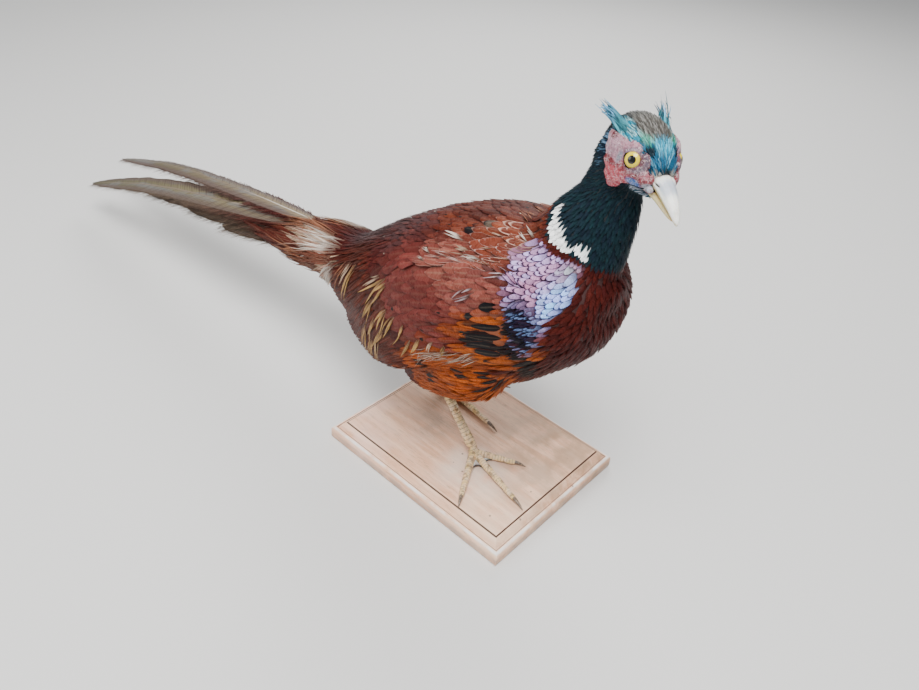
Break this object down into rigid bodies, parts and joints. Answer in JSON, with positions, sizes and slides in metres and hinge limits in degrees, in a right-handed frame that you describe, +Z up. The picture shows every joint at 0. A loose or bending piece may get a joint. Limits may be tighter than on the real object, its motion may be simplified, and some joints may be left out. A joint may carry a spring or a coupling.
{
  "type": "taxidermy cock pheasant on wooden board",
  "caption": "Mounted cock pheasant standing on a rectangular moulded wooden board, head turned to its right, long tail held level behind.",
  "frame": {"origin": "centre of the wooden board's underside", "axes": "+X the way the bird faces, its tail reaching back along -X, +Y to the bird's left, +Z up"},
  "size_m": [0.7701, 0.1575, 0.3422],
  "materials": {
    "board_wood": "satin stained wood with a thin layer of dust",
    "plumage_body": "glossy feather, maroon-chestnut with orange and lavender parts",
    "plumage_wing": "feather, burgundy-brown with dark bars",
    "plumage_flank": "soft feather, orange with dark spots",
    "plumage_neck": "glossy feather, blue-black with a violet and green sheen",
    "plumage_crown": "short glossy feather, bronze and teal green",
    "plumage_tuft": "glossy feather, teal blue",
    "plumage_tail": "stiff feather, olive-buff with narrow dark bars",
    "wattle_skin": "warty bare skin, matt",
    "glass_eye": "clear gloss over a yellow iris",
    "bill_horn": "ivory horn, satin",
    "leg_scale": "cream-yellow scaly skin with dark horn claws, satin"
  },
  "bodies": {
    "root": {"base_board": "board_wood", "trunk": "plumage_body", "tail_coverts": "plumage_body", "wing_left": "plumage_wing", "wing_right": "plumage_wing", "thigh_left": "plumage_flank", "thigh_right": "plumage_flank", "neck": "plumage_neck", "head": "plumage_crown", "ear_tuft_left": "plumage_tuft", "ear_tuft_right": "plumage_tuft", "wattle_left": "wattle_skin", "wattle_right": "wattle_skin", "eye_left": "glass_eye", "eye_right": "glass_eye", "bill_upper": "bill_horn", "bill_lower": "bill_horn", "shank_left": "leg_scale", "shank_right": "leg_scale", "foot_left": "leg_scale", "foot_right": "leg_scale", "tail_central_left": "plumage_tail", "tail_central_right": "plumage_tail", "tail_second_left": "plumage_tail", "tail_second_right": "plumage_tail", "tail_third_left": "plumage_tail", "tail_third_right": "plumage_tail", "tail_outer_left": "plumage_tail", "tail_outer_right": "plumage_tail"}
  },
  "joints": []
}
